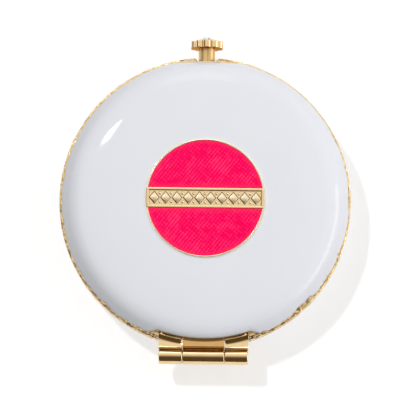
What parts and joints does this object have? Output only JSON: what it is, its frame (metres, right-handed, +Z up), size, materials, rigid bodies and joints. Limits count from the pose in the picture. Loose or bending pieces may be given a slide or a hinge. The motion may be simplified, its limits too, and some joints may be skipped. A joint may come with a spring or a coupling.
{
  "type": "compact mirror",
  "caption": "Round hinged compact mirror: white enamel domes on gilt rims, a pink enamel medallion with a plain bar, facing mirrors inside, and a sprung push-button catch.",
  "frame": {"origin": "middle of the flat on the underside of the base", "axes": "+X along the hinge, +Y from the hinge to the push button, +Z up through the closed lid"},
  "size_m": [0.065, 0.0735, 0.0178],
  "materials": {
    "gilt_brass": "polished gilt",
    "white_enamel": "gloss",
    "pink_enamel": "gloss",
    "mirror_glass": "silvered",
    "backing_felt": "felt",
    "crystal": "cut and polished",
    "spring_steel": "drawn"
  },
  "bodies": {
    "base": {"base_pan": "gilt_brass", "base_enamel": "white_enamel", "base_mirror_frame": "gilt_brass", "base_mirror": "mirror_glass", "base_mirror_pad": "backing_felt", "base_hinge_leaf": "gilt_brass", "clasp_guide": "gilt_brass", "guide_screws": "spring_steel", "return_spring": "spring_steel"},
    "lid": {"lid_pan": "gilt_brass", "lid_enamel": "white_enamel", "medallion_plate": "gilt_brass", "medallion_enamel_upper": "pink_enamel", "medallion_enamel_lower": "pink_enamel", "lid_mirror_frame": "gilt_brass", "lid_mirror": "mirror_glass", "lid_mirror_pad": "backing_felt", "lid_hinge_leaf": "gilt_brass", "hinge_pin": "gilt_brass", "latch_keeper": "gilt_brass", "keeper_rivets": "gilt_brass"},
    "button": {"button_stem": "gilt_brass", "button_setting": "gilt_brass", "button_crystal": "crystal", "latch_hook": "gilt_brass", "latch_screw": "spring_steel"}
  },
  "joints": [
    {"name": "lid_hinge", "type": "hinge", "parent": "base", "child": "lid", "pos_m": [0, -0.03435, 0.0085], "axis": [1, 0, 0], "range_deg": [0, 176]},
    {"name": "button_press", "type": "slide", "parent": "base", "child": "button", "axis": [0, -1, 0], "range_m": [0, 0.0015], "stiffness_N_per_m": 1500, "springref_m": -0.0007, "deforming": ["return_spring"]}
  ]
}
